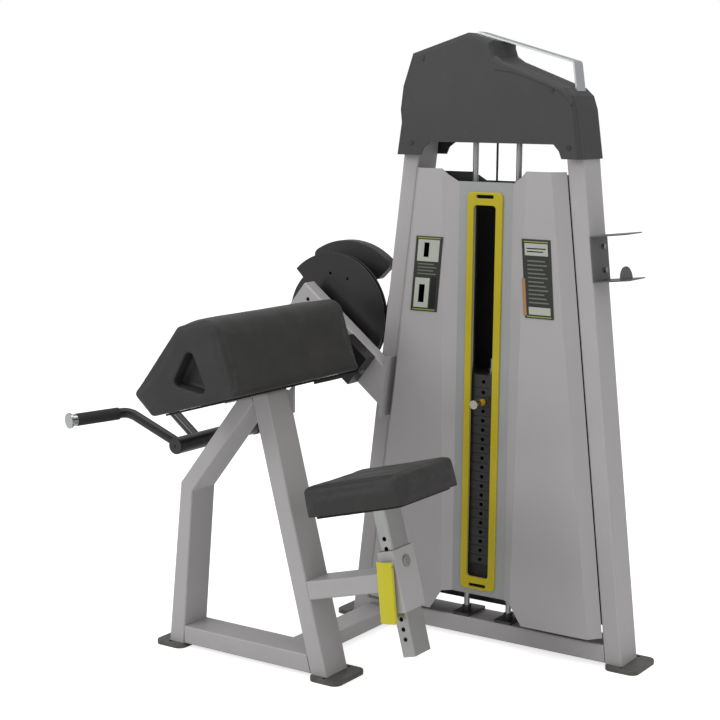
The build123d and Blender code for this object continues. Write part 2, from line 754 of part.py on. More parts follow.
def make_cable():
    """Fixed run of the cable: up beside the cam, through the left upright and over both pulleys."""
    plane = tower(cable_y)
    cam_x, cam_z = elbow[0] + bench_x - tower_x, elbow[1]
    across, rise = left_pulley - cam_x, pulley_z - cam_z
    gap = hypot(across, rise)
    turn = degrees(asin((groove_r + pulley_r) / gap) + atan2(rise, across)) - 90
    side = Vector(cos(radians(turn)), sin(radians(turn)), 0)
    leave = Vector(cam_x, cam_z, 0) + side * groove_r
    meet = Vector(left_pulley, pulley_z, 0) - side * pulley_r
    start = leave + (meet - leave).normalized() * 48
    with BuildPart() as cable:
        with BuildLine(plane) as path:
            Line((start.X, start.Y), (meet.X, meet.Y))
            CenterArc((left_pulley, pulley_z), pulley_r, 180 + turn, -90 - turn)
            Line((left_pulley, pulley_z + pulley_r), (right_pulley, pulley_z + pulley_r))
            CenterArc((right_pulley, pulley_z), pulley_r, 90, -90)
        with BuildSketch(Plane(path.line @ 0, z_dir=path.line % 0)):
            Circle(cable_r)
        sweep(path=path.line)
    save(cable, "drive_cable")
    low = stack_z + plate_count * plate_pitch + head_thick + 40
    save(round_bar(at_tower(0, cable_y, low), at_tower(0, cable_y, pulley_z), cable_r), "stack_cable")


def make_rods():
    """Guide rods with their feet, and the bar and rubber block that the stack rests on."""
    low = foot_thick + tube_width
    with BuildPart() as rods:
        for side in (-1, 1):
            add(round_bar(at_tower(side * rod_x, cable_y, low + 8),
                          at_tower(side * rod_x, cable_y, upright_top + 20), rod_r).part)
    save(rods, "guide_rods")
    bar_low, bar_high = 150.0, stack_z - 45
    reach = [half_width(z) - tube_width for z in (bar_low, bar_high)]
    with BuildPart() as base:
        for side in (-1, 1):
            with BuildSketch(Plane(at_tower(side * rod_x, 0, low))):
                Rectangle(52, 96)
            extrude(amount=8)
            add(round_bar(at_tower(side * rod_x, cable_y, low + 8),
                          at_tower(side * rod_x, cable_y, low + 22), rod_r + 5, rod_r).part)
        add(slab(tower(20), [(-reach[0], bar_low), (reach[0], bar_low), (reach[1], bar_high),
                             (-reach[1], bar_high)], 66).part)
        with BuildSketch(Plane(at_tower(0, cable_y, bar_low))):
            with Locations((rod_x, 0), (-rod_x, 0)):
                Circle(rod_r)
        extrude(amount=bar_high - bar_low, mode=Mode.SUBTRACT)
    save(base, "stack_base")
    with BuildPart() as cushion:
        with BuildSketch(Plane(at_tower(0, cable_y, stack_z - 45))):
            Rectangle(200, 86)
            with Locations((rod_x, 0), (-rod_x, 0)):
                Circle(rod_r + 2, mode=Mode.SUBTRACT)
        extrude(amount=45)
    save(cushion, "stack_cushion")


def weight_plate(z, thick):
    """One weight plate with its rod bores, selector bore and front pin hole."""
    with BuildPart() as plate:
        with BuildSketch(Plane(at_tower(0, cable_y, z))):
            RectangleRounded(*plate_size, 6)
            with Locations((rod_x, 0), (-rod_x, 0)):
                Circle(rod_r + 1, mode=Mode.SUBTRACT)
            Circle(13.5, mode=Mode.SUBTRACT)
        extrude(amount=thick)
        with BuildSketch(tower(cable_y)):
            with Locations((0, z + 12.6)):
                Circle(5.5)
        extrude(amount=plate_size[1] / 2 + 1, mode=Mode.SUBTRACT)
    return plate.part


def make_stack():
    thick = plate_pitch - 1.0
    resting = plate_count - lifted_count
    with BuildPart() as lower:
        for index in range(resting):
            add(weight_plate(stack_z + index * plate_pitch, thick))
    save(lower, "lower_weight_plates")
    head_z = stack_z + plate_count * plate_pitch
    with BuildPart() as lifted:
        for index in range(resting, plate_count):
            add(weight_plate(stack_z + index * plate_pitch, thick))
        with BuildSketch(Plane(at_tower(0, cable_y, head_z))):
            RectangleRounded(*plate_size, 6)
            with Locations((rod_x, 0), (-rod_x, 0)):
                Circle(rod_r + 0.06, mode=Mode.SUBTRACT)
            Circle(12, mode=Mode.SUBTRACT)
        extrude(amount=head_thick)
        with BuildSketch(tower(cable_y)):
            with Locations((0, head_z + 16)):
                Circle(5.5)
        extrude(amount=plate_size[1] / 2 + 1, mode=Mode.SUBTRACT)
    save(lifted, "lifted_weight_plates")

    with BuildPart() as selector:
        add(round_bar(at_tower(0, cable_y, stack_z + 12), at_tower(0, cable_y, head_z + head_thick + 12),
                      12).part)
        add(round_bar(at_tower(0, cable_y, head_z + head_thick + 12),
                      at_tower(0, cable_y, head_z + head_thick + 40), 8).part)
        for index in range(plate_count + 1):
            z = stack_z + index * plate_pitch + (16 if index == plate_count else 12.6)
            with BuildSketch(tower(cable_y + 14)):
                with Locations((0, z)):
                    Circle(5.5)
            extrude(amount=28, mode=Mode.SUBTRACT)
    save(selector, "selector_tube")

    pin_z = stack_z + resting * plate_pitch + 12.6
    front = cable_y - plate_size[1] / 2
    with BuildPart() as pin:
        add(round_bar(at_tower(0, cable_y + 12, pin_z), at_tower(0, front - 3, pin_z), 5.0).part)
        add(round_bar(at_tower(0, front - 2, pin_z), at_tower(0, front - 26, pin_z), 9.0).part)
        add(round_bar(at_tower(0, front - 26, pin_z), at_tower(0, front - 34, pin_z), 6.0).part)
        add(round_bar(at_tower(0, front - 34, pin_z), at_tower(0, front - 54, pin_z), 12.0).part)
    save(pin, "selector_pin")


# ---------------------------------------------------------------- shrouds and cap
def loft_panel(low, high):
    """Folded sheet drawn as a plan outline low down and another high up, lofted between."""
    with BuildPart() as panel:
        for z, outline in (low, high):
            with BuildSketch(Plane(at_tower(0, 0, z))):
                with BuildLine():
                    Polyline(*outline, close=True)
                make_face()
        loft(ruled=True)
    return panel


def shroud_plan(z, side):
    """Plan outline of one folded front panel at a height; side is -1 for left and 1 for right."""
    edge = half_width(z) - tube_width - 0.6
    outer_fold, inner_fold = edge - 27.4, 110 + (z - 138) * 0.0153
    points = [(edge, -52), (outer_fold, shroud_front), (inner_fold, shroud_front),
              (82, shroud_front + 16), (82, shroud_front + 16 + sheet),
              (inner_fold - 1, shroud_front + sheet), (outer_fold - 1, shroud_front + sheet),
              (edge - sheet, -51)]
    return [(side * x, y) for x, y in points]


def make_shrouds():
    """Folded front panels, the slotted panel between them and the flat rear sheet."""
    low, high = 81.0, 1318.0
    for side, name in ((-1, "shroud_left"), (1, "shroud_right")):
        with BuildPart() as panel:
            add(loft_panel((low, shroud_plan(low, side)), (high, shroud_plan(high, side))).part)
            with BuildSketch(tower()):
                with BuildLine():
                    Polyline((side * 60, 60), (side * 60, 142), (side * 108, 138), (side * 146, low - 1),
                             (side * 146, 60), close=True)
                make_face()
                with BuildLine():
                    Polyline((side * 60, 1340), (side * 60, 1285), (side * 84, 1284), (side * 112, 1302),
                             (side * 129, 1319), (side * 129, 1340), close=True)
                make_face()
            extrude(amount=120, mode=Mode.SUBTRACT)
        save(panel, name)

    with BuildPart() as centre:
        with BuildSketch(tower(shroud_front + 18)):
            with BuildLine():
                Polyline((-82, 140), (82, 140), (82, 1285), (-82, 1285), close=True)
            make_face()
            with Locations((0, (slot_low + slot_high) / 2)):
                RectangleRounded(2 * slot_half, slot_high - slot_low, 10, mode=Mode.SUBTRACT)
            with Locations((0, trim_high - 12), (0, trim_low + 12)):
                RectangleRounded(54, 10, 4, mode=Mode.SUBTRACT)
        extrude(amount=sheet)
    save(centre, "shroud_center")

    low, high = 84.0, 1306.0
    with BuildPart() as rear:
        with BuildSketch(tower(46)):
            with BuildLine():
                Polyline((tube_width - half_width(low), low), (half_width(low) - tube_width, low),
                         (half_width(high) - tube_width, high), (103, high), (64, 1284), (-64, 1284),
                         (-103, high), (tube_width - half_width(high), high), close=True)
            make_face()
        extrude(amount=sheet)
    save(rear, "shroud_rear")

    plane = tower(shroud_front + 18 - sheet)
    with BuildPart() as trim:
        with BuildSketch(plane):
            with Locations((0, (trim_low + trim_high) / 2)):
                RectangleRounded(2 * trim_half, trim_high - trim_low, 14)
            with Locations((0, (slot_low + slot_high) / 2)):
                RectangleRounded(2 * slot_half, slot_high - slot_low, 10, mode=Mode.SUBTRACT)
            with Locations((0, trim_high - 12), (0, trim_low + 12)):
                RectangleRounded(54, 10, 4, mode=Mode.SUBTRACT)
        extrude(amount=6)
        fillet(trim.faces().sort_by(Axis.Y)[0].outer_wire().edges(), 2.5)
    save(trim, "slot_trim")


cap_outline = [(-281, 1352), (-268, 1440), (-272, 1475), (-264, 1538), (-234, 1626), (-63, 1679),
               (14, 1657.6), (14, 1640), (22, 1618), (44, 1604), (228, 1535), (250, 1515),
               (262, 1480), (268, 1440), (281, 1352)]
cap_arch = [(226, 1352), (218, 1372), (202, 1389), (-168, 1389), (-192, 1372), (-201, 1352)]
cap_depths = (83.0, 60.0)              # of the front and the rear shell


def make_cap():
    """Two hollow shells that meet on the tower's middle plane and close over the pulleys."""
    wall = 4.0
    inner = [(-277.5, 1351), (-264.5, 1440), (-267, 1475), (-259, 1536), (-230, 1622), (-62, 1674),
             (9, 1653.5), (9, 1640), (18, 1614), (42, 1599), (225, 1531), (246, 1512),
             (257, 1479), (264.5, 1440), (277.5, 1351)]
    for front, name, cap_half in ((-1, "cap_front", cap_depths[0]), (1, "cap_rear", cap_depths[1])):
        start = 0.0 if front < 0 else cap_half
        with BuildPart() as cap:
            with BuildSketch(tower(start)):
                with BuildLine():
                    Polyline(*cap_outline, close=True)
                make_face()
            extrude(amount=cap_half)
            outer = cap.faces().sort_by(Axis.Y)[0 if front < 0 else -1]
            fillet(outer.edges().filter_by(lambda e: e.center().Z > 1353), 12)
            with BuildSketch(tower(0.0 if front < 0 else cap_half - wall)):
                with BuildLine():
                    Polyline(*inner, close=True)
                make_face()
            extrude(amount=cap_half - wall, mode=Mode.SUBTRACT)
            with BuildSketch(tower(start)):
                with BuildLine():
                    Polyline(*cap_arch, close=True)
                make_face()
            extrude(amount=cap_half, mode=Mode.SUBTRACT)
        save(cap, name)

    with BuildPart() as top_band:
        with BuildSketch(tower(25)):
            with BuildLine():
                FilletPolyline((-63, 1684), (226, 1603.7), (238, 1526), (232.8, 1530.7), (222, 1599.8),
                               (-63, 1679), radius=[0.5, 10, 0.5, 0.5, 6, 0.5], close=True)
            make_face()
        extrude(amount=50)
    save(top_band, "top_band")


def make_bottle_holder():
    """Bent steel bracket on the right upright: back plate, top ring flange, shelf and stop tab."""
    z = 1093.0
    angle = degrees(atan2(lean, 1))
    out = Vector(cos(radians(angle)), 0, sin(radians(angle)))
    up = Vector(-sin(radians(angle)), 0, cos(radians(angle)))
    spot = at_tower(half_width(z), 0, z)
    with BuildPart() as holder:
        with BuildSketch(Plane(spot, x_dir=(0, 1, 0), z_dir=out)):
            Rectangle(100, 122)
            with Locations((22, 30), (22, -32)):
                Circle(4.2, mode=Mode.SUBTRACT)
        extrude(amount=3)
        for height in (58, -61):
            with BuildSketch(Plane(spot + up * height, x_dir=out, z_dir=up)):
                with Locations((51.5, 0)):
                    Rectangle(103, 100)
            extrude(amount=3)
        with BuildSketch(Plane(spot + up * -58.5 + out * 70, x_dir=(0, 1, 0), z_dir=out)):
            with Locations((0, 0)):
                Ellipse(38, 34)
            with Locations((0, -25)):
                Rectangle(90, 50, mode=Mode.SUBTRACT)
        extrude(amount=3)
    save(holder, "bottle_holder")


def make_placards():
    """Plain sign plates on the two front panels, each with a smaller side tab."""
    with BuildPart() as signs:
        for x, low, high, width, shear in ((-171.5, 925, 1132, 84, 0.08), (170.5, 932, 1141, 84, -0.08)):
            mid = (low + high) / 2
            with BuildSketch(tower(shroud_front)):
                with BuildLine():
                    Polyline(*[(x + dx + shear * (z - mid), z) for dx, z in
                               ((-width / 2, low), (width / 2, low), (width / 2, high), (-width / 2, high))],
                             close=True)
                make_face()
            extrude(amount=2)
    save(signs, "placards")


def make_bolts():
    """Hex bolts of the holder, the link beam and the pad bracket, heads out and shanks in their holes."""
    angle = atan2(lean, 1)
    out = Vector(cos(angle), 0, sin(angle))
    up = Vector(-sin(angle), 0, cos(angle))
    face = at_tower(half_width(1093.0), 22, 1093.0) + out * 3
    flange_y = tower_y - tube_depth / 2 - bench_y
    x, z = beam_point(-218, 0)
    spots = [(Plane(face + up * h, x_dir=(0, 1, 0), z_dir=out), 8, 3, 4.2) for h in (30, -32)]
    spots += [(Plane(at_bench(212 + dx, flange_y - 6, foot_thick + 25), x_dir=(1, 0, 0),
                     z_dir=(0, -1, 0)), 9, 6, 5.2) for dx in (-51, 51)]
    slope = radians(beam_angle)
    spots.append((Plane(at_bench(x, beam_front - 24, z), x_dir=(0, 1, 0),
                        z_dir=(cos(slope), 0, -sin(slope))), 8, 0, 0))
    with BuildPart() as bolts:
        for plane, head_r, shank, shank_r in spots:
            with BuildSketch(plane):
                RegularPolygon(head_r, 6)
            extrude(amount=5)
            if shank:
                with BuildSketch(plane):
                    Circle(shank_r)
                extrude(amount=-shank)
    save(bolts, "frame_bolts")

    with BuildPart() as screws:
        for x, z in ((-200, 1612), (192, 1528), (246, 1381), (-231, 1384)):
            with BuildSketch(tower(-cap_depths[0])):
                with Locations((x, z)):
                    Circle(6.5)
            extrude(amount=2)
    save(screws, "cap_screws")


make_a_frame()
make_feet()
make_link_beam()
make_pad_plate()
make_arm_pad()
make_pad_end_bracket()
make_seat_arm()
make_seat_sleeve()
make_seat()
make_seat_cushion()
make_seat_lock()
make_support_beam()
make_cam()
make_axle()
make_lever_arm()
make_counterweight()
make_curl_bar()
make_uprights()
make_top_frame()
make_pulleys()
make_cable()
make_rods()
make_stack()
make_shrouds()
make_cap()
make_bottle_holder()
make_placards()
make_bolts()
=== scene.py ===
from math import cos, radians, sin

import bmesh
import bpy
from mathutils import Matrix, Vector


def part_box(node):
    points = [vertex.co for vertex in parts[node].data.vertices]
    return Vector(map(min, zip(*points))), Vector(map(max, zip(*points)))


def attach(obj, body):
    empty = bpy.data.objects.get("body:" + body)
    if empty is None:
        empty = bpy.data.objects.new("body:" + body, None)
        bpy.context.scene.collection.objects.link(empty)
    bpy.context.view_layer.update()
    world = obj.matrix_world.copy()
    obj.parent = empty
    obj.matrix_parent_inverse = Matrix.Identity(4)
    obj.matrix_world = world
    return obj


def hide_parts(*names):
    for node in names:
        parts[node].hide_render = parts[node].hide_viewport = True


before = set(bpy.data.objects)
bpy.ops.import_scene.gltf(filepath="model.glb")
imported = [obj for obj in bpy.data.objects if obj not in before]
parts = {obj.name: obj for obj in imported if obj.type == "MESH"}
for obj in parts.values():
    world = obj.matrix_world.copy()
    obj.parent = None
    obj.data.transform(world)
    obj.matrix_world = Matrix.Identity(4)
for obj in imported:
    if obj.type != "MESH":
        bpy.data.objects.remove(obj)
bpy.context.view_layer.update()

# ---- Room: the machine stands on a plain pale studio floor inside an even white surround.
# Soft panels light it from the front left, the right and overhead, as a catalogue booth does.
turn, tip, roll = radians(33.48), radians(9.02), radians(0.54)
sight = Vector((-sin(turn) * cos(tip), cos(turn) * cos(tip), -sin(tip)))
across = Vector((cos(turn), sin(turn), 0))
upward = across.cross(sight)
across, upward = (across * cos(roll) + upward * sin(roll), upward * cos(roll) - across * sin(roll))
eye = bpy.data.objects.new("camera", bpy.data.cameras.new("camera"))
eye.data.lens, eye.data.sensor_width, eye.data.clip_end = 81.44, 36.0, 60.0
eye.matrix_world = Matrix((across, upward, -sight)).transposed().to_4x4()
eye.location = (2.3417, -3.5602, 1.4950)
bpy.context.scene.collection.objects.link(eye)
bpy.context.scene.camera = eye


def panel_light(name, place, aim, size, power):
    lamp = bpy.data.objects.new(name, bpy.data.lights.new(name, "AREA"))
    lamp.data.shape, lamp.data.size, lamp.data.size_y = "RECTANGLE", size[0], size[1]
    lamp.data.energy = power
    lamp.location = place
    lamp.rotation_euler = (Vector(aim) - Vector(place)).to_track_quat("-Z", "Y").to_euler()
    bpy.context.scene.collection.objects.link(lamp)


panel_light("front_panel", (-2.6, -4.4, 3.4), (0, 0, 0.8), (3.0, 2.4), 92)
panel_light("right_panel", (4.6, -1.2, 2.6), (0.1, 0, 0.8), (2.6, 2.6), 26)
panel_light("top_panel", (0.2, -0.4, 4.6), (0, 0, 0), (4.0, 4.0), 58)
bpy.context.scene.world = bpy.data.worlds.new("studio")
bpy.context.scene.world.use_nodes = True
backdrop = bpy.context.scene.world.node_tree
white, seen_strength, lighting_strength = (1, 1, 1, 1), 1.0, 0.45
seen = backdrop.nodes.new("ShaderNodeBackground")
seen.inputs[0].default_value, seen.inputs[1].default_value = white, seen_strength
lighting = backdrop.nodes["Background"]
lighting.inputs[0].default_value, lighting.inputs[1].default_value = white, lighting_strength
path = backdrop.nodes.new("ShaderNodeLightPath")
either = backdrop.nodes.new("ShaderNodeMixShader")
backdrop.links.new(path.outputs["Is Camera Ray"], either.inputs[0])
backdrop.links.new(lighting.outputs[0], either.inputs[1])
backdrop.links.new(seen.outputs[0], either.inputs[2])
backdrop.links.new(either.outputs[0], backdrop.nodes["World Output"].inputs[0])
bpy.context.scene.view_settings.view_transform = "Standard"

floor_half_width, floor_drop = 30, 0.0006
floor_colour, floor_roughness, floor_glow = (0.86, 0.86, 0.86, 1), 0.8, 0.72
floor_mesh = bmesh.new()
bmesh.ops.create_grid(floor_mesh, x_segments=1, y_segments=1, size=floor_half_width)
studio_floor = bpy.data.objects.new("studio_floor", bpy.data.meshes.new("studio_floor"))
floor_mesh.to_mesh(studio_floor.data)
floor_mesh.free()
studio_floor.location.z = -floor_drop
floor_paint = bpy.data.materials.new("pale_floor")
floor_paint.use_nodes = True
floor_surface = floor_paint.node_tree.nodes["Principled BSDF"]
floor_surface.inputs["Base Color"].default_value = floor_colour
floor_surface.inputs["Roughness"].default_value = floor_roughness
floor_surface.inputs["Emission Strength"].default_value = floor_glow
floor_path = floor_paint.node_tree.nodes.new("ShaderNodeLightPath")
floor_paint.node_tree.links.new(floor_path.outputs["Is Camera Ray"], floor_surface.inputs["Emission Color"])
studio_floor.data.materials.append(floor_paint)
bpy.context.scene.collection.objects.link(studio_floor)


# ---- Welded frame: rectangular steel tubes of the arm bench and of the weight tower, with the
# plates welded to them. Shot-blasted, then powder coated in a pale silver grey with a faint
# orange-peel skin, and a little floor dust low down.
class Strand:
    """A shader socket that can be used in arithmetic; each operation adds its node."""

    def __init__(self, finish, socket):
        self.finish, self.socket = finish, socket

    def math(self, operation, first, second):
        return self.finish.node("ShaderNodeMath", {"operation": operation}, {0: first, 1: second})

    def __add__(self, other): return self.math("ADD", self, other)
    def __radd__(self, other): return self.math("ADD", other, self)
    def __sub__(self, other): return self.math("SUBTRACT", self, other)
    def __rsub__(self, other): return self.math("SUBTRACT", other, self)
    def __mul__(self, other): return self.math("MULTIPLY", self, other)
    def __gt__(self, other): return self.math("GREATER_THAN", self, other)
    def __lt__(self, other): return self.math("LESS_THAN", self, other)


class Finish:
    """One material: a Principled surface whose inputs are set by numbers or by strands."""

    def __init__(self, name, colour, **surface):
        self.material = bpy.data.materials.new(name)
        self.material.use_nodes = True
        self.tree = self.material.node_tree
        self.surface = self.tree.nodes["Principled BSDF"]
        self.colour = self.linear(colour)
        self.set(Base_Color=self.colour, **surface)
        self.place = self.node("ShaderNodeTexCoord", {}, {}, "Object")

    def linear(self, colour):
        """The shader's linear colour for an ordinary screen colour from 0 to 255."""
        return tuple(((c / 255 + 0.055) / 1.055) ** 2.4 if c > 10 else c / 255 / 12.92
                     for c in colour) + (1.0,)

    def node(self, kind, settings, sockets, out=0):
        node = self.tree.nodes.new(kind)
        for key, value in settings.items():
            setattr(node, key, value)
        for key, value in sockets.items():
            self.plug(node.inputs[key], value)
        return Strand(self, node.outputs[out])

    def plug(self, socket, value):
        if isinstance(value, Strand):
            self.tree.links.new(value.socket, socket)
        else:
            socket.default_value = value

    def set(self, **surface):
        for key, value in surface.items():
            self.plug(self.surface.inputs[key.replace("_", " ")], value)

    def noise(self, scale, detail=2.0, stretch=(1, 1, 1), rough=0.5):
        spread = self.node("ShaderNodeMapping", {}, {"Vector": self.place, "Scale": stretch})
        return self.node("ShaderNodeTexNoise", {}, {"Vector": spread, "Scale": scale, "Detail": detail,
                                                    "Roughness": rough}, "Fac")

    def cells(self, scale, feature="F1"):
        return self.node("ShaderNodeTexVoronoi", {"feature": feature},
                         {"Vector": self.place, "Scale": scale}, "Distance")

    def axis(self, name):
        return self.node("ShaderNodeSeparateXYZ", {}, {0: self.place}, name)

    def ramp(self, value, low, high):
        return self.node("ShaderNodeMapRange", {}, {"Value": value, "From Min": low, "From Max": high},
                         "Result")

    def blend(self, factor, first, second):
        return self.node("ShaderNodeMix", {"data_type": "RGBA"}, {0: factor, 6: first, 7: second}, 2)

    def relief(self, height, strength, depth):
        return self.node("ShaderNodeBump", {}, {"Height": height, "Strength": strength, "Distance": depth},
                         "Normal")

    def on(self, *names):
        for name in names:
            piece = parts[name] if isinstance(name, str) else name
            piece.data.materials.clear()
            piece.data.materials.append(self.material)
        return self


def powder_coat(name, colour, roughness, dust=0.25, peel=0.10):
    """Baked powder: orange peel a millimetre or two across, cloudy gloss, scuffs and floor dust."""
    coat = Finish(name, colour, Metallic=0.0, IOR=1.5, Coat_Roughness=0.22)
    cloud = coat.noise(5, 4)
    skin = coat.noise(520, 3)
    grit = coat.noise(1500, 1)
    scuff = coat.ramp(coat.noise(38, 6, (1, 1, 0.25), 0.7), 0.63, 0.74)
    low = coat.ramp(coat.axis("Z"), 0.09, 0.0) * coat.noise(30, 4)
    shade = tuple(c * 0.88 for c in coat.colour[:3]) + (1.0,)
    pale = tuple(min(1.0, c * 1.25 + 0.03) for c in coat.colour[:3]) + (1.0,)
    tone = coat.blend(coat.ramp(cloud, 0.35, 0.7) * 0.35, coat.colour, shade)
    tone = coat.blend(scuff * 0.12, tone, pale)
    tone = coat.blend(low * dust, tone, coat.linear((150, 145, 138)))
    coat.set(Base_Color=tone, Roughness=roughness + (cloud - 0.5) * 0.12 + scuff * 0.10 + low * 0.2,
             Coat_Weight=0.25 - scuff * 0.2, Normal=coat.relief(skin + grit * 0.35, peel, 0.0006))
    return coat


silver_coat = powder_coat("silver_grey_powder_coat", (184, 181, 182), 0.40)
silver_coat.on("a_frame_front_leg", "a_frame_rear_post", "a_frame_base", "link_beam", "pad_plate",
               "seat_arm", "seat_sleeve", "support_beam", "left_upright", "right_upright", "tower_base")


def soften(width, *names, segments=2):
    """Rounds the sharp edges of rigid pieces slightly, as deburred and coated metal is."""
    for name in names:
        piece = parts[name] if isinstance(name, str) else name
        bevel = piece.modifiers.new("edge", "BEVEL")
        bevel.width, bevel.segments, bevel.limit_method = width, segments, "ANGLE"
        bevel.angle_limit = radians(40)
        piece.data.shade_smooth()
        crease = piece.modifiers.new("flats", "WEIGHTED_NORMAL")
        crease.keep_sharp = True


# ---- Black-coated steel: top frame, stack base, pad end bracket, seat plate, cap screws and
# foot plates. Same powder process in satin black, so dust and rubbed spots show more. The rear
# shroud sheet is given the same black material.
black_coat = powder_coat("black_powder_coat", (38, 38, 39), 0.38, dust=0.55, peel=0.12)
black_coat.on("top_frame", "shroud_rear", "stack_base", "pad_end_bracket", "seat_plate", "cap_screws")
foot_coat = powder_coat("foot_plate_coat", (52, 52, 53), 0.42, dust=0.5, peel=0.14)
foot_coat.on("foot_plates")

# ---- Shroud: two folded steel side panels and a flat slotted panel between them, spot-welded
# and coated like the frame; the flat panel is a bluer, flatter grey.
sheet_coat = powder_coat("shroud_powder_coat", (180, 177, 178), 0.43, peel=0.08)
sheet_coat.on("shroud_left", "shroud_right")
inner_coat = powder_coat("inner_panel_coat", (163, 165, 166), 0.36, peel=0.06)
inner_coat.on("shroud_center")

# ---- Cap and pulleys: two injection-moulded black shells with a fine spark-eroded grain, and
# nylon wheels. Low shine, with faint paler rubbed patches.
def moulded(name, colour, roughness, grain=0.35, scale=900):
    plastic = Finish(name, colour, IOR=1.46)
    pits = plastic.cells(scale)
    flow = plastic.noise(7, 4)
    rub = plastic.ramp(plastic.noise(26, 6, (1, 1, 0.5), 0.65), 0.58, 0.75)
    shade = tuple(c * 0.78 for c in plastic.colour[:3]) + (1.0,)
    worn = tuple(c * 1.35 + 0.008 for c in plastic.colour[:3]) + (1.0,)
    tone = plastic.blend(plastic.ramp(flow, 0.3, 0.75) * 0.4, plastic.colour, shade)
    plastic.set(Base_Color=plastic.blend(rub * 0.35, tone, worn),
                Roughness=roughness + (flow - 0.5) * 0.1 - rub * 0.06 + (pits - 0.4) * 0.08,
                Normal=plastic.relief(pits + plastic.noise(scale * 1.7, 2) * 0.5, grain, 0.0004))
    return plastic


cap_plastic = moulded("cap_black_plastic", (62, 62, 63), 0.46)
cap_plastic.on("cap_front", "cap_rear")
wheel_nylon = moulded("wheel_nylon", (34, 34, 35), 0.38, grain=0.15)
wheel_nylon.on("left_pulley", "right_pulley", "sleeve_liners")


def flat_piece(name, outline, y_back, thick, centre, body, bevel=0.0):
    """A plate cut to an XZ outline (mm from centre), its back at y_back, facing the bench."""
    build = bmesh.new()
    back = [build.verts.new(((centre[0] + x) / 1000, y_back / 1000, (centre[1] + z) / 1000))
            for x, z in outline]
    face = build.faces.new(back)
    front = bmesh.ops.extrude_face_region(build, geom=[face])["geom"]
    for vert in front:
        if isinstance(vert, bmesh.types.BMVert):
            vert.co.y -= thick / 1000
    bmesh.ops.recalc_face_normals(build, faces=build.faces)
    piece = bpy.data.objects.new(name, bpy.data.meshes.new(name))
    build.to_mesh(piece.data)
    build.free()
    bpy.context.scene.collection.objects.link(piece)
    if bevel:
        soften(bevel / 1000, piece, segments=3)
    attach(piece, body)
    return piece


tower_middle = 203.0
cap_face = 267.5
shoulder = [(22, 1581), (75, 1574), (129, 1558), (175, 1541), (212, 1526), (238, 1508), (251, 1488),
            (257, 1500), (252, 1510), (232, 1526), (205, 1537), (130, 1566), (80, 1584), (48, 1596)]
sunk, raised_thick, raised_round = 0.5, 3.0, 2.2
raised_face = flat_piece("cap_raised_face", shoulder, cap_face + sunk, raised_thick, (tower_middle, 0),
                         "frame", raised_round)
cap_plastic.on(raised_face)

# ---- Cushions: closed-cell foam on plywood boards, wrapped in black grained vinyl that is
# pulled tight and stapled under the board, so the faces crown and the sides pull in a little.
vinyl = Finish("black_grained_vinyl", (47, 47, 46), IOR=1.47, Sheen_Weight=0.06, Sheen_Roughness=0.5)
grain = vinyl.cells(640, "DISTANCE_TO_EDGE")
fine = vinyl.noise(1500, 3)
soft_wave = vinyl.noise(9, 4)
# Random patches: the lower roughness there is real gloss, and the paler colour there is a painted sheen.
gloss_and_painted_sheen = vinyl.ramp(vinyl.noise(14, 5), 0.42, 0.72)
vinyl_tone = vinyl.blend(vinyl.ramp(grain, 0.0, 0.12), vinyl.linear((33, 33, 33)), vinyl.colour)
vinyl.set(Base_Color=vinyl.blend(gloss_and_painted_sheen * 0.25, vinyl_tone, vinyl.linear((62, 62, 61))),
          Roughness=0.50 - gloss_and_painted_sheen * 0.10 + (fine - 0.5) * 0.08,
          Normal=vinyl.relief(vinyl.ramp(grain, 0.0, 0.14) + fine * 0.4 + soft_wave * 1.2, 0.38, 0.0005))


board_gap, cushion_voxel, cloth_frames = 0.0003, 0.0045, 20


def evaluated_mesh(shell):
    """The mesh of an object with its modifiers applied, at the current frame."""
    return bpy.data.meshes.new_from_object(shell.evaluated_get(bpy.context.evaluated_depsgraph_get()))


def cushion(name, node, held, normal, shrink, swell):
    """Foam and cover of one CAD pad: remeshed, blown up as cloth from its board, then capped."""
    source = parts[node].data.copy()
    shell = bpy.data.objects.new(name, source)
    bpy.context.scene.collection.objects.link(shell)
    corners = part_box(node)
    middle = (Vector(corners[0]) + Vector(corners[1])) / 2
    size = Vector(corners[1]) - Vector(corners[0])
    bottom = min(v.co.dot(normal) for v in source.vertices)
    for vert in source.vertices:
        for k in range(3):
            vert.co[k] = middle[k] + (vert.co[k] - middle[k]) * (1 - 2 * shrink / size[k])
    lift = bottom - min(v.co.dot(normal) for v in source.vertices)
    for vert in source.vertices:
        vert.co += normal * (lift + board_gap)
    grid = shell.modifiers.new("grid", "REMESH")
    grid.mode, grid.voxel_size = "VOXEL", cushion_voxel
    evened = evaluated_mesh(shell)
    shell.modifiers.clear()
    shell.data = evened
    start = [v.co.copy() for v in evened.vertices]
    pinned = shell.vertex_groups.new(name="board")
    pinned.add([v.index for v in evened.vertices if v.co.dot(normal) < bottom + held], 1.0, "REPLACE")
    cloth = shell.modifiers.new("cover", "CLOTH")
    cloth.settings.quality = 6
    cloth.settings.mass = 0.4
    cloth.settings.tension_stiffness = cloth.settings.compression_stiffness = 18
    cloth.settings.bending_stiffness = 1.5
    cloth.settings.use_pressure, cloth.settings.uniform_pressure_force = True, 4.0
    cloth.settings.vertex_group_mass = "board"
    cloth.settings.effector_weights.gravity = 0.0
    cloth.collision_settings.use_collision = False
    for step in range(1, cloth_frames + 1):
        bpy.context.scene.frame_set(step)
    blown = evaluated_mesh(shell)
    shell.modifiers.clear()
    for vert, rest in zip(blown.vertices, start):
        move = vert.co - rest
        if move.length > swell:
            vert.co = rest + move.normalized() * swell
    shell.data = blown
    bpy.context.scene.frame_set(1)
    relax = shell.modifiers.new("even", "SMOOTH")
    relax.factor, relax.iterations = 0.5, 2
    finer = shell.modifiers.new("finer", "SUBSURF")
    finer.levels = finer.render_levels = 1
    shell.data.shade_smooth()
    vinyl.on(shell)
    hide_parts(node)
    return shell


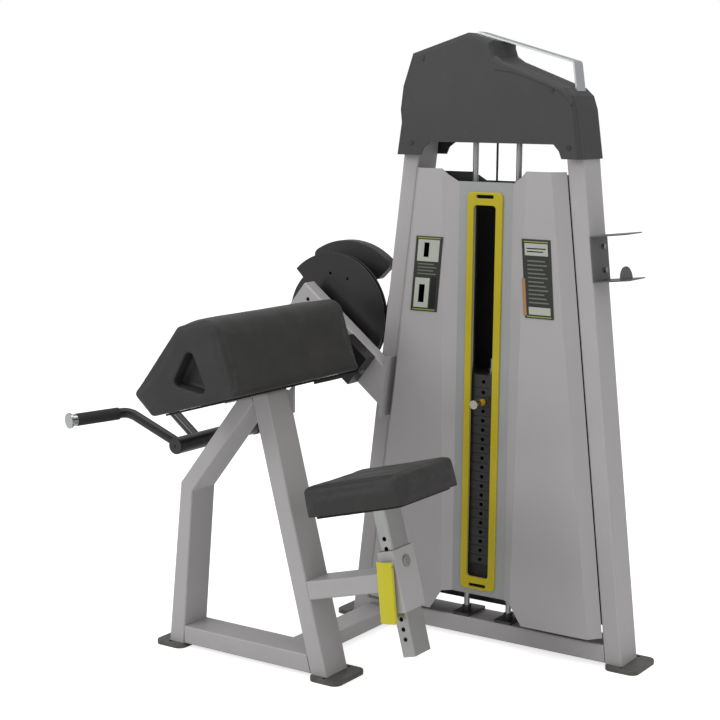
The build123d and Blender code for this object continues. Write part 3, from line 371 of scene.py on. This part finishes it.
pad_slope, seat_slope = radians(16.3), radians(15)
pad_normal = Vector((-sin(pad_slope), 0, cos(pad_slope)))
seat_normal = Vector((-sin(seat_slope), 0, cos(seat_slope)))
arm_cushion = cushion("arm_cushion", "arm_pad", 0.010, pad_normal, 0.002, 0.003)
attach(arm_cushion, "frame")
seat_cushion = cushion("seat_cushion", "seat_pad", 0.012, seat_normal, 0.002, 0.0035)
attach(seat_cushion, "seat")

# ---- Boards: birch plywood cut to the cushions' shape, edges stained black, screwed up from
# the steel plates; thin lines of the plies show along the edge.
ply = Finish("stained_plywood", (40, 36, 33), IOR=1.45)
layers = ply.node("ShaderNodeTexWave", {"bands_direction": "Z"},
                  {"Vector": ply.place, "Scale": 160.0, "Distortion": 1.5, "Detail": 2.0}, "Fac")
fibre = ply.noise(90, 5, (1, 0.15, 1))
ply.set(Base_Color=ply.blend(layers * 0.5, ply.colour, ply.linear((24, 22, 21))),
        Roughness=0.62 + fibre * 0.15, Normal=ply.relief(layers * 0.5 + fibre, 0.3, 0.0005))
ply.on("pad_board", "seat_board")

# ---- Bright steel: the seat post, guide rods, pins, axle, bolts and spindle ends. Ground bar
# and drawn tube, zinc or hard chrome plated, with fine lines along the work and light scratches.
def ground_steel(name, colour, roughness, stretch, line=0.22):
    steel = Finish(name, colour, Metallic=1.0, Anisotropic=0.3)
    lines = steel.noise(420, 3, stretch, 0.6)
    smear = steel.noise(12, 5)
    mark = steel.ramp(steel.noise(60, 7, stretch, 0.8), 0.66, 0.72)
    dull = tuple(c * 0.72 for c in steel.colour[:3]) + (1.0,)
    steel.set(Base_Color=steel.blend(steel.ramp(smear, 0.35, 0.8) * 0.5, steel.colour, dull),
              Roughness=roughness + (lines - 0.5) * line + smear * 0.08 + mark * 0.15,
              Normal=steel.relief(lines + mark, 0.15, 0.0003))
    return steel


post_steel = ground_steel("drawn_post_steel", (186, 188, 186), 0.30, (1, 1, 0.03))
post_steel.on("seat_post", "guide_rods", "selector_tube")
bolt_steel = ground_steel("zinc_bolt_steel", (176, 175, 170), 0.32, (1, 1, 1))
bolt_steel.on("frame_bolts", "pulley_pins", "axle_bearings", "lever_bracket", "seat_lock_pin",
              "clamp_button")
axle_steel = ground_steel("turned_axle_steel", (160, 160, 160), 0.28, (1, 0.05, 1))
axle_steel.on("elbow_axle")
chrome = ground_steel("polished_chrome", (215, 216, 218), 0.10, (1, 1, 1), line=0.05)
chrome.on("bar_end_caps")
soften(0.0008, "bar_end_caps", segments=3)

# ---- Top band: a strip of extruded aluminium bent over the cap's scoop as a hand grip, brushed
# along its length and clear anodised.
band_metal = ground_steel("brushed_aluminium", (214, 216, 219), 0.26, (0.03, 1, 0.03))
band_metal.on("top_band")
soften(0.0012, "top_band", segments=3)

# ---- Curl arm: cam plate, lever, cross tube, counterweight and its arm, flame-cut or cast steel,
# machined where they run and sprayed in satin black. The weight plates are cast, in a rougher black.
cam_paint = powder_coat("cam_black_paint", (36, 36, 37), 0.34, dust=0.0, peel=0.10)
cam_paint.on("cam", "lever_arm", "cross_tube", "counterweight_arm")
soften(0.0012, "cam", "lever_arm", "counterweight_arm")
cast_black = powder_coat("cast_weight_black", (40, 40, 41), 0.48, dust=0.0, peel=0.34)
cast_black.on("counterweight", "lower_weight_plates", "lifted_weight_plates")
soften(0.0015, "lower_weight_plates", "lifted_weight_plates")

# ---- Curl bar: bent and welded round bar in satin black, with thick ribbed rubber grips pushed
# over its ends; the bar turns on the cross tube's spindle.
bar_paint = powder_coat("bar_black_paint", (34, 34, 36), 0.30, dust=0.0, peel=0.06)
bar_paint.on("curl_bar")
soften(0.0006, "curl_bar")
grip_rubber = Finish("ribbed_grip_rubber", (36, 36, 36), IOR=1.5)
knurl = grip_rubber.cells(420, "DISTANCE_TO_EDGE")
worn_grip = grip_rubber.noise(30, 5)
grip_tone = grip_rubber.blend(worn_grip * 0.5, grip_rubber.colour, grip_rubber.linear((54, 54, 53)))
grip_rubber.set(Base_Color=grip_tone, Roughness=0.62 + worn_grip * 0.15,
                Normal=grip_rubber.relief(knurl, 0.7, 0.0012))
grip_rubber.on("hand_grips", "stack_cushion")

# ---- Cables: steel wire rope with a smooth black nylon jacket; the lay of the strands shows
# faintly through it.
jacket = Finish("black_cable_jacket", (30, 30, 31), IOR=1.5)
lay = jacket.node("ShaderNodeTexWave", {"bands_direction": "DIAGONAL"},
                  {"Vector": jacket.place, "Scale": 110.0, "Distortion": 0.4}, "Fac")
jacket.set(Roughness=0.34 + jacket.noise(40, 3) * 0.15, Normal=jacket.relief(lay, 0.35, 0.0006))
jacket.on("cam_cable", "drive_cable", "stack_cable")

# ---- Yellow fittings: the moulded trim around the selector slot, the pressed seat lever and the
# selector pin with its yellow collar and bright knob. Signal yellow marks what the user adjusts.
trim_yellow = moulded("trim_yellow_plastic", (196, 178, 28), 0.30, grain=0.08, scale=1200)
trim_yellow.on("slot_trim")
lever_yellow = powder_coat("lever_yellow_paint", (214, 205, 20), 0.34, dust=0.0, peel=0.10)
lever_yellow.on("seat_lever")
soften(0.001, "seat_lever")
collar_front, collar_back, collar_yellow = 0.2620, 0.2850, (212, 170, 40)
pin_finish = ground_steel("selector_pin_steel", (196, 192, 180), 0.24, (1, 0.1, 1))
reach = pin_finish.axis("Y")
collar = (reach < collar_back) * (reach > collar_front)
pin_tone = pin_finish.blend(collar, pin_finish.colour, pin_finish.linear(collar_yellow))
pin_finish.set(Base_Color=pin_tone, Metallic=1 - collar)
pin_finish.on("selector_pin")

# ---- Bottle holder: sheet steel folded to shape and screwed to the right upright, powder
# coated mid grey.
holder_coat = powder_coat("holder_grey_coat", (92, 92, 93), 0.40, dust=0.0, peel=0.12)
holder_coat.on("bottle_holder")

# ---- Signs: rigid printed plates screwed to the side panels. They carry plain
# coloured fields and thin stripes only.
sign_base = moulded("sign_dark_plastic", (52, 54, 50), 0.30, grain=0.05)
sign_base.on("placards")
soften(0.0008, "placards")
sign_pale = moulded("sign_pale_field", (186, 190, 178), 0.36, grain=0.04)
sign_olive = moulded("sign_olive_stripe", (150, 158, 70), 0.36, grain=0.04)
sign_dark = moulded("sign_dark_field", (34, 35, 34), 0.28, grain=0.04)
sign_grey = moulded("sign_grey_line", (118, 121, 112), 0.36, grain=0.04)
sign_tan = moulded("sign_tan_tab", (172, 130, 88), 0.36, grain=0.04)
sign_face, ink_gap, ink_thick, sign_half_height = 260.0, 0.1, 0.5, 103.5


def slanted(x0, x1, z0, z1, middle_x, low, lean):
    """A field's outline on one sign, mm from the sign's foot, sheared to the sign's lean."""
    return [(middle_x + x + lean * (z - sign_half_height), low + z)
            for x, z in ((x0, z0), (x1, z0), (x1, z1), (x0, z1))]


olive_edges = [("edge_top", (-36, 36, 201, 204), sign_olive), ("edge_foot", (-36, 36, 3, 6), sign_olive)]
left_fields = [("upper", (-34, 34, 138, 198), sign_pale), ("lower", (-34, 12, 10, 92), sign_pale),
               ("tab", (17, 34, 10, 96), sign_dark), ("mark_a", (-14, 2, 150, 190), sign_grey),
               ("mark_b", (-20, -2, 24, 74), sign_grey)]
left_fields += [(f"row_{k}", (-30, 30 - 9 * (k % 2), 102 + 9 * k, 105 + 9 * k), sign_grey)
                for k in range(4)]
right_fields = [("upper", (-34, 34, 166, 198), sign_pale), ("foot", (-30, 34, 10, 30), sign_pale),
                ("tab", (-47, -37, 6, 104), sign_tan)]
right_fields += [(f"head_{k}", (-28, 20 + 8 * k, 175 + 8 * k, 178 + 8 * k), sign_dark) for k in range(2)]
right_fields += [(f"row_{k}", (-28, 30 - 6 * (k % 3), 40 + 11 * k, 43.5 + 11 * k), sign_grey)
                 for k in range(11)]
for side, fields, middle_x, low, lean in (("left", left_fields, -171.5, 925, 0.08),
                                          ("right", right_fields, 170.5, 932, -0.08)):
    for label, span, ink in olive_edges + fields:
        outline = slanted(*span, middle_x, low, lean)
        tag = flat_piece(f"sign_{side}_{label}", outline, sign_face + ink_gap, ink_thick,
                         (tower_middle, 0), "frame")
        ink.on(tag)
